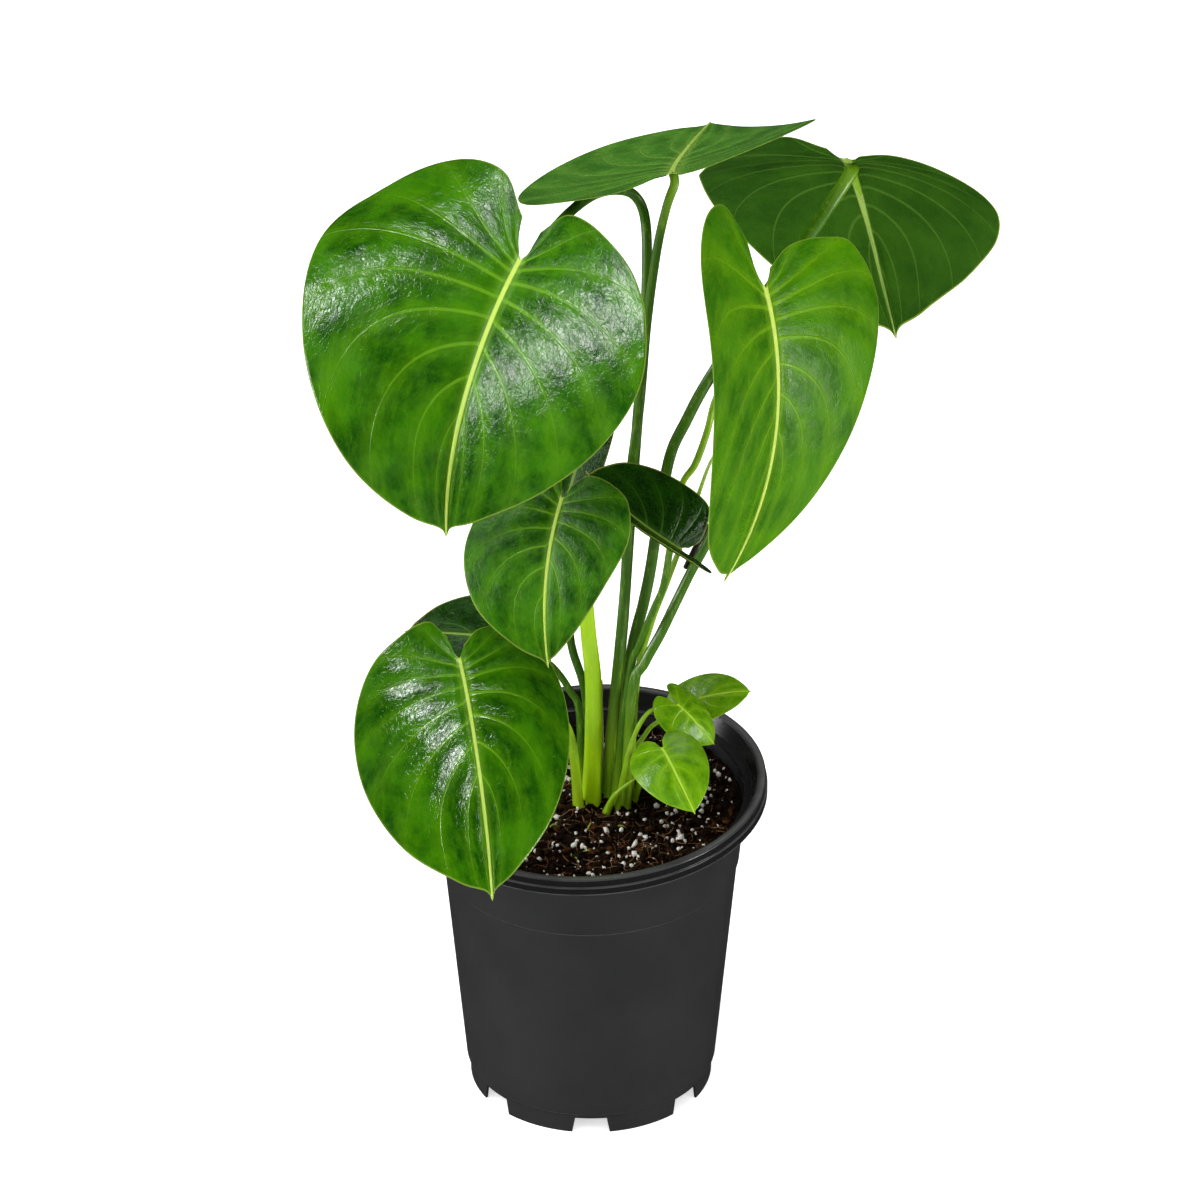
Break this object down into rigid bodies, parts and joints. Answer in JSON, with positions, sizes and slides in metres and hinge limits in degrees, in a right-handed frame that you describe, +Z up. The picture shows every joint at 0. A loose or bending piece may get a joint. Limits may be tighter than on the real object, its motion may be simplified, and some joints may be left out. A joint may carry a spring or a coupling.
{
  "type": "potted monstera plant",
  "caption": "Young monstera with whole, heart-shaped glossy leaves on long stalks, in peaty mix in a plain black nursery pot.",
  "frame": {"origin": "on the floor, under the middle of the whole plant's bounding box; the axis of the pot stands at x -0.0287, y -0.0133", "axes": "+Z up; -Y towards the side that most leaf faces are turned to; +X to the right seen from there"},
  "size_m": [0.2964, 0.2878, 0.4698],
  "materials": {
    "black_plastic": "satin, moulded",
    "potting_mix": "matte, moist and fibrous",
    "leaf_big_left_green": "glossy living leaf",
    "leaf_top_green": "glossy living leaf",
    "leaf_right_back_green": "glossy living leaf",
    "leaf_right_front_green": "glossy living leaf",
    "leaf_centre_green": "glossy living leaf",
    "leaf_lower_left_green": "glossy living leaf",
    "leaf_small_dark_green": "glossy living leaf",
    "leaf_left_dark_green": "glossy living leaf",
    "leaf_behind_green": "glossy living leaf",
    "offshoot_leaf_a_green": "glossy living leaf",
    "offshoot_leaf_b_green": "glossy living leaf",
    "offshoot_leaf_c_green": "glossy living leaf",
    "petiole_top_skin": "smooth living stalk",
    "petiole_big_left_skin": "smooth living stalk",
    "petiole_right_back_skin": "smooth living stalk",
    "petiole_right_front_skin": "smooth living stalk",
    "petiole_small_dark_skin": "smooth living stalk",
    "main_stem_skin": "smooth living stalk",
    "petiole_lower_left_skin": "smooth living stalk",
    "petiole_left_dark_skin": "smooth living stalk",
    "petiole_behind_skin": "smooth living stalk",
    "petiole_a_skin": "smooth living stalk",
    "petiole_b_skin": "smooth living stalk",
    "petiole_c_skin": "smooth living stalk",
    "rolled_shoot_skin": "smooth young or papery stalk",
    "old_sheath_skin": "smooth young or papery stalk",
    "spear_leaf_skin": "smooth young or papery stalk",
    "young_stalk_skin": "smooth young or papery stalk",
    "dry_sheath_skin": "smooth young or papery stalk"
  },
  "bodies": {
    "root": {"pot": "black_plastic", "soil": "potting_mix", "leaf_big_left": "leaf_big_left_green", "leaf_top": "leaf_top_green", "leaf_right_back": "leaf_right_back_green", "leaf_right_front": "leaf_right_front_green", "leaf_centre": "leaf_centre_green", "leaf_lower_left": "leaf_lower_left_green", "leaf_small_dark": "leaf_small_dark_green", "leaf_left_dark": "leaf_left_dark_green", "leaf_behind": "leaf_behind_green", "offshoot_leaf_a": "offshoot_leaf_a_green", "offshoot_leaf_b": "offshoot_leaf_b_green", "offshoot_leaf_c": "offshoot_leaf_c_green", "petiole_top": "petiole_top_skin", "petiole_big_left": "petiole_big_left_skin", "petiole_right_back": "petiole_right_back_skin", "petiole_right_front": "petiole_right_front_skin", "petiole_small_dark": "petiole_small_dark_skin", "main_stem": "main_stem_skin", "petiole_lower_left": "petiole_lower_left_skin", "petiole_left_dark": "petiole_left_dark_skin", "petiole_behind": "petiole_behind_skin", "petiole_a": "petiole_a_skin", "petiole_b": "petiole_b_skin", "petiole_c": "petiole_c_skin", "rolled_shoot": "rolled_shoot_skin", "old_sheath": "old_sheath_skin", "spear_leaf": "spear_leaf_skin", "young_stalk": "young_stalk_skin", "dry_sheath": "dry_sheath_skin"}
  },
  "joints": []
}
